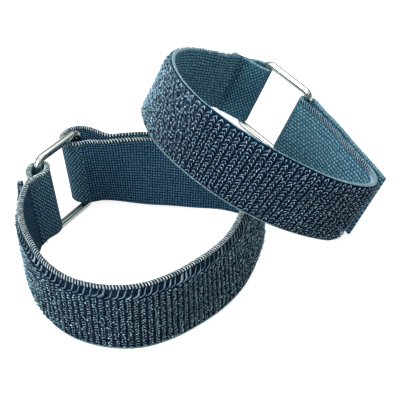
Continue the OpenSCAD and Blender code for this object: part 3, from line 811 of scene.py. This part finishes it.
class STRAPS_OT_selvedges(Operator):
    """Whips the two long edges of the webbing"""
    bl_idname = "straps.selvedges"
    bl_label = "Selvedges"

    BARE_INSET = 0.3  # of a bare edge's cord, of its half width
    BARE_LIFT = 0.7 * MM  # of a bare bottom edge's cord towards the pile
    FLAT_L, FLAT = 8 * MM, 0.3  # of the bottom cord, which thins beside the ring
    # Shares of the hoop's length: where it first turns back, how far on to the next
    # turn, where the bare top edge sinks in, and over how far.
    TURNED, ON, SINKS, OVER = 0.24, 0.47, 0.72, 0.1
    WHIP_PROUD = {"lower": 0.1 * MM, "upper": -0.2 * MM}  # of the webbing's faces
    WHIP_SWEEP, WHIP_SLANT = math.radians(250), 0.45
    WHIP_SIDE, WHIP_FACE = 0.15 * MM, 0.05 * MM  # room round the cord
    TAPE_REACH = 0.3  # of the overlocked edge, of the hoop's length
    TAPE_FROM, TAPE_TO, TAPE_T = 1.9 * MM, 0.2 * MM, 0.12 * MM
    # Its stitches, with their pitch in whip stitches.
    LOCK_SIZE, LOCK_R = (1.1 * MM, 1.2 * MM, 1.1 * MM, 1), 0.13
    LOCK_SWEEP, LOCK_SLANT, LOCK_PITCH = math.radians(100), 0.6, 1.2
    LOCK_IN, LOCK_SUNK = 0.95 * MM, 0.72 * MM

    def execute(self, context):
        s = context.scene.strap_sizes
        for strap in STRAPS:
            for part in sections(strap):
                for side in ("bottom", "top"):
                    self.edge(s, strap, part, side)
        return {"FINISHED"}

    def edge(self, s, strap, part, side):
        """A cord in the edge, and the stitches that whip it."""
        start, end, body, blend = sections(strap)[part]
        length, top = end - start, side == "top"
        wide, deep = getattr(s, strap + "_edge_w"), getattr(s, strap + "_edge_t")
        bare = part == "band" and (strap == "upper" or not top)
        v = s.webbing_w - wide * (self.BARE_INSET if bare else 1) if top else wide
        bm = bmesh.new()
        lie = Matrix.Translation((length / 2, v, self.BARE_LIFT if bare and not top else 0)) \
            @ Matrix.Diagonal((1, wide, deep, 1)) @ Matrix.Rotation(math.pi / 2, 4, "Y")
        bmesh.ops.create_cone(bm, cap_ends=True, segments=12, radius1=1, radius2=1,
                              depth=length, matrix=lie)
        long = [e for e in bm.edges if e.calc_length() > length / 2]
        bmesh.ops.subdivide_edges(bm, edges=long, cuts=max(1, int(length / MM)))
        if part == "sewn_loop":
            thin_end(bm, s)
        if bare and not top:
            # It lies flat where the wire passes over it.
            for p in bm.verts:
                near = smoothstep(min(max((length - p.co.x) / self.FLAT_L, 0), 1))
                p.co.z *= self.FLAT + (1 - self.FLAT) * near
        if bare and top:
            # The bare edge shows broadest where the hoop turns back at each side.
            for p in bm.verts:
                share = p.co.x / length
                turned = math.cos(math.pi * (share - self.TURNED) / self.ON) ** 4
                ending = smoothstep(min(max((share - self.SINKS) / self.OVER, 0), 1))
                p.co.z *= 0.4 * (1 - ending) + turned
                p.co.y = v + (p.co.y - v) * (0.5 + 0.5 * turned)
        replaced = {"band": ["bead_" + side], "tail": ["tail_beads"] if top else []}
        put(strap, f"{part}_{side}_cord", bm, ["pale_cord" if bare else strap + "_core"],
            body, replaced.get(part, ()), blend, start)
        if top and bare:
            self.overlock(s, strap, start, length)
        elif top:
            self.whip(s, strap, part, v, wide)

    def whip(self, s, strap, part, v, wide):
        """Stitches that go round the edge, side by side and slanted, a little
        coarser than real ones."""
        start, end, body, blend = sections(strap)[part]
        bm, deep = bmesh.new(), s.webbing_t / 2 + self.WHIP_PROUD[strap]
        arch(bm, 1, s.whip_r / deep, self.WHIP_SWEEP, 8)
        stand = Matrix.Diagonal((deep, wide + self.WHIP_SIDE, deep + self.WHIP_FACE, 1)) \
            @ Matrix.Rotation(-math.pi / 2, 4, "X") @ Matrix.Rotation(math.pi / 2, 4, "Z")
        move(bm, stand)
        for p in bm.verts:
            p.co.x += p.co.z * self.WHIP_SLANT
        count = max(1, round((end - start) / s.whip_pitch))
        pitch = (end - start) / count
        shift(bm, pitch / 2, v, 0)
        tile(bm, count, (pitch, 0, 0))
        if part == "sewn_loop":
            thin_end(bm, s)
        put(strap, part + "_top_whip", bm, [strap + "_whip"], body, (), blend,
            start)

    def overlock(self, s, strap, start, length):
        """Flat slanted stitches on the inner face, where the hoop nears the ring."""
        reach, inner = length * self.TAPE_REACH, -s.webbing_t / 2
        start += length - reach
        bm = flat_strip(reach, s.webbing_w - self.TAPE_FROM, s.webbing_w - self.TAPE_TO,
                        inner - self.TAPE_T, inner + SUNK)
        put(strap, "overlock_bed", bm, ["lower_core"], "strap", start=start)
        bm = bmesh.new()
        arch(bm, 1, self.LOCK_R, self.LOCK_SWEEP, 4)
        stand = Matrix.Diagonal(self.LOCK_SIZE) \
            @ Matrix.Rotation(math.pi, 4, "X") @ Matrix.Rotation(math.pi / 2, 4, "Z")
        move(bm, stand)
        for p in bm.verts:
            p.co.x += p.co.y * self.LOCK_SLANT
        count = round(reach / (self.LOCK_PITCH * s.whip_pitch))
        shift(bm, 0, s.webbing_w - self.LOCK_IN, inner + self.LOCK_SUNK)
        tile(bm, count, (reach / count, 0, 0))
        put(strap, "overlock", bm, ["overlock_thread"], "strap", start=start)


class STRAPS_OT_seams(Operator):
    """Sews each loop's flap down with a row of stitches"""
    bl_idname = "straps.seams"
    bl_label = "Seams"

    def execute(self, context):
        s = context.scene.strap_sizes
        pitch = s.webbing_w / s.stitches
        for strap in STRAPS:
            bm = bmesh.new()
            arch(bm, s.stitch_l / 2, s.thread_d / 2, math.pi, 8, 6)
            # Each stitch is pulled nearly flat.
            move(bm, Matrix.Rotation(math.pi / 2, 4, "Z")
                   @ Matrix.Scale(0.3, 4, (0, 0, 1)))
            shift(bm, 1.5 * s.thread_d, pitch / 2, s.webbing_t / 2)
            tile(bm, s.stitches, (0, pitch, 0))
            put(strap, "seam", bm, ["sewing_thread"], "strap", ["anchor_seam"],
                start=0.0)
        return {"FINISHED"}


class STRAPS_OT_hooks(Operator):
    """Moulds the hook patch on the inner face of each tail"""
    bl_idname = "straps.hooks"
    bl_label = "Hook patches"

    TAPE_T = 0.25 * MM
    HOOK_R, STEM_R, SWEEP = 0.22 * MM, 0.09 * MM, math.radians(200)
    PITCH, FIRST, HEIGHT = 0.9 * MM, 0.6 * MM, 0.35 * MM

    def execute(self, context):
        s = context.scene.strap_sizes
        face = s.webbing_t / 2
        v0 = s.pile_border + s.hook_border
        v1 = s.webbing_w - v0
        for strap in STRAPS:
            start = path_of(strap).length - s.hook_border - s.hook_l
            bm = flat_strip(s.hook_l, v0, v1, face - SUNK, face + self.TAPE_T)
            put(strap, "hook_tape", bm, ["hook_tape"], "tail", ["hook_patch"],
                start=start)
            bm = bmesh.new()
            arch(bm, self.HOOK_R, self.STEM_R, self.SWEEP, 5, 4)
            shift(bm, self.FIRST, v0 + self.FIRST, face + self.HEIGHT)
            tile(bm, int((v1 - v0) / self.PITCH) - 1, (0, self.PITCH, 0))
            tile(bm, int(s.hook_l / self.PITCH) - 1, (self.PITCH, 0, 0))
            put(strap, "hooks", bm, ["hook_tape"], "tail", start=start)
        return {"FINISHED"}


class STRAPS_OT_rings(Operator):
    """Bends each ring from round wire"""
    bl_idname = "straps.rings"
    bl_label = "Wire rings"

    WIRE_SIDES, CORNER_STEPS = 20, 8

    def execute(self, context):
        s = context.scene.strap_sizes
        for strap in STRAPS:
            bar, up = joint_line(strap + "_ring_swivel")
            free, _ = joint_line(strap + "_tail_peel")
            wide = np.linalg.norm(free - bar) / 2 - s.ring_corner
            high = s.webbing_w / 2 + s.ring_play + s.wire_d / 2 - s.ring_corner
            bm = bmesh.new()
            made = bmesh.ops.create_circle(
                bm, segments=self.WIRE_SIDES, radius=s.wire_d / 2,
                matrix=Matrix.Translation((wide + s.ring_corner, 0, -high)))
            rim = rim_of(made["verts"])
            sides = [((0, 0, 1), high), ((-1, 0, 0), wide), ((0, 0, -1), high),
                     ((1, 0, 0), wide)]
            centres = [(wide, 0, high), (-wide, 0, high), (-wide, 0, -high),
                       (wide, 0, -high)]
            for (way, half), centre in zip(sides, centres):
                grown = bmesh.ops.extrude_edge_only(bm, edges=rim)["geom"]
                verts = of_kind(BMVert, grown)
                rim = [e for e in of_kind(BMEdge, grown)
                       if e.verts[0] in verts and e.verts[1] in verts]
                bmesh.ops.translate(bm, verts=verts, vec=Vector(way) * 2 * half)
                last = bmesh.ops.spin(bm, geom=verts + rim, cent=centre, axis=(0, -1, 0),
                                      angle=math.pi / 2,
                                      steps=self.CORNER_STEPS)["geom_last"]
                rim = of_kind(BMEdge, last)
            bmesh.ops.remove_doubles(bm, verts=bm.verts, dist=SAME)
            z = Vector(up)
            x = Vector(unit(free - bar))
            y = z.cross(x)
            place = Matrix((x, y, z)).transposed().to_4x4()
            place.translation = Vector((bar + free) / 2)
            move(bm, place)
            put(strap, "wire_ring", bm, ["chrome_plate"], "ring", ["ring"])
        return {"FINISHED"}


class STRAPS_OT_studio(Operator):
    """Sets the floor, the soft light and the camera"""
    bl_idname = "straps.studio"
    bl_label = "Studio"

    FLOOR_REACH = 2
    WALL_R, WALL_H = 0.9, 0.75
    LAMP_SIZE = 300 * MM
    # Places in millimetres, and the lamps' watts.
    LAMPS = {"key": ((-340, -250, 300), 2.9), "top": ((60, 80, 480), 1.2)}
    CAMERA = (-2.241, -274.931, 216.35)
    TARGET = (-2.241, -33.761, 37.87)
    LENS, SENSOR = 87.93, 36

    def execute(self, context):
        scene = context.scene
        self.floor(scene.strap_colours)
        self.world(scene)
        for name, (place, watts) in self.LAMPS.items():
            data = bpy.data.lights.new(name, "AREA")
            data.size, data.energy = self.LAMP_SIZE, watts
            self.aim(add_object(name, data), Vector(place), Vector())
        self.surround(scene.strap_colours)
        data = bpy.data.cameras.new("camera")
        data.lens, data.sensor_width = self.LENS, self.SENSOR
        data.clip_start, data.clip_end = 0.01, 20
        scene.camera = add_object("camera", data)
        self.aim(scene.camera, Vector(self.CAMERA), Vector(self.TARGET))
        scene.view_settings.view_transform = "Standard"
        return {"FINISHED"}

    def aim(self, obj, place, target):
        """Sets a lamp or the camera at a place, turned to its target."""
        obj.location = place * MM
        obj.rotation_euler = (target - place).to_track_quat("-Z", "Y").to_euler()

    def direct(self, tree, shade=1.0):
        """1 for a ray that shows the backdrop, and less where the wire mirrors the floor's
        painted shadow.
        """
        seen = node(tree, "LightPath").node.outputs
        level = node(tree, "Math", {0: seen["Is Glossy Ray"], 1: shade},
                     operation="MULTIPLY")
        for ray in ("Is Camera Ray", "Is Transmission Ray"):
            level = node(tree, "Math", {0: level, 1: seen[ray]}, operation="ADD")
        return node(tree, "Math", {0: level, 1: 1.0}, operation="MINIMUM")

    def floor(self, c):
        """A plain pale floor of matt paper, with a painted shadow round the straps that only the
        wire mirrors.
        """
        bm = bmesh.new()
        bmesh.ops.create_grid(bm, x_segments=1, y_segments=1, size=self.FLOOR_REACH)
        floor = add_object("floor", to_mesh(bm, "floor", False))
        paper, tree, bsdf = material("paper_floor", Base_Color=c.floor, Roughness=0.95,
                                     Specular_IOR_Level=0.0)
        place = node(tree, "TexCoord", out="Object")
        away = node(tree, "VectorMath", {0: place}, 1, operation="LENGTH")
        # Painted shadow: for glossy rays the floor's glow is dimmed close to the straps, and the
        # wire mirrors that shade.
        shade = node(tree, "MapRange", {0: away, 1: 0.09, 2: 0.28, 3: 0.4, 4: 1.0})
        glow = node(tree, "Math", {0: self.direct(tree, shade), 1: 0.8},
                    operation="MULTIPLY")
        bsdf.inputs["Emission Color"].default_value = (1, 1, 1, 1)
        tree.links.new(glow, bsdf.inputs["Emission Strength"])
        floor.data.materials.append(paper)

    def world(self, scene):
        """A white world, whose light is less than its look."""
        scene.world = bpy.data.worlds.new("studio")
        scene.world.use_nodes = True
        tree = scene.world.node_tree
        level = node(tree, "MapRange", {0: self.direct(tree), 3: 0.68, 4: 1.0})
        sky = tree.nodes["Background"].inputs
        tree.links.new(level, sky["Strength"])
        sky["Color"].default_value = (1, 1, 1, 1)

    def surround(self, c):
        """A low dark wall round the floor that only the wire's reflections show."""
        bm = bmesh.new()
        made = bmesh.ops.create_circle(bm, segments=48, radius=self.WALL_R)["verts"]
        grown = bmesh.ops.extrude_edge_only(bm, edges=rim_of(made))["geom"]
        bmesh.ops.translate(bm, verts=of_kind(BMVert, grown), vec=(0, 0, self.WALL_H))
        wall = add_object("surround", to_mesh(bm, "surround", False))
        paint, tree, bsdf = material("painted_wall", Roughness=1.0)
        place = node(tree, "TexCoord", out="Object")
        _, depth, height = node(tree, "SeparateXYZ", {0: place}).node.outputs
        level = node(tree, "MapRange", {0: height, 1: 0.1, 2: self.WALL_H})
        front = node(tree, "MapRange", {0: depth, 1: -0.5, 2: 0.2, 3: 0.75, 4: 0.0})
        level = node(tree, "Math", {0: level, 1: front}, operation="MAXIMUM")
        shade = node(tree, "Mix", {0: level, 6: c.wall_foot, 7: c.wall_top}, 2,
                     data_type="RGBA")
        tree.links.new(shade, bsdf.inputs["Base Color"])
        wall.data.materials.append(paint)
        wall.visible_camera = wall.visible_diffuse = wall.visible_shadow = False


OPERATORS = (STRAPS_OT_webbing, STRAPS_OT_pile, STRAPS_OT_selvedges, STRAPS_OT_seams,
             STRAPS_OT_hooks, STRAPS_OT_rings, STRAPS_OT_studio)


class STRAPS_PT_panel(Panel):
    bl_label = "Wrist Straps"
    bl_idname = "STRAPS_PT_panel"
    bl_space_type = "VIEW_3D"
    bl_region_type = "UI"
    bl_category = "Wrist Straps"

    def draw(self, context):
        for op in OPERATORS:
            self.layout.operator(op.bl_idname)
        for group in (context.scene.strap_sizes, context.scene.strap_colours):
            box = self.layout.box()
            for name in group.bl_rna.properties.keys():
                if name not in ("rna_type", "name"):
                    box.prop(group, name)


CLASSES = (StrapSizes, StrapColours, *OPERATORS, STRAPS_PT_panel)


def register():
    for c in CLASSES:
        bpy.utils.register_class(c)
    bpy.types.Scene.strap_sizes = PointerProperty(type=StrapSizes)
    bpy.types.Scene.strap_colours = PointerProperty(type=StrapColours)


def unregister():
    del bpy.types.Scene.strap_colours
    del bpy.types.Scene.strap_sizes
    for c in reversed(CLASSES):
        bpy.utils.unregister_class(c)


def main():
    register()
    for op in OPERATORS:
        getattr(bpy.ops.straps, op.bl_idname.split(".")[1])()


if __name__ == "__main__":
    main()
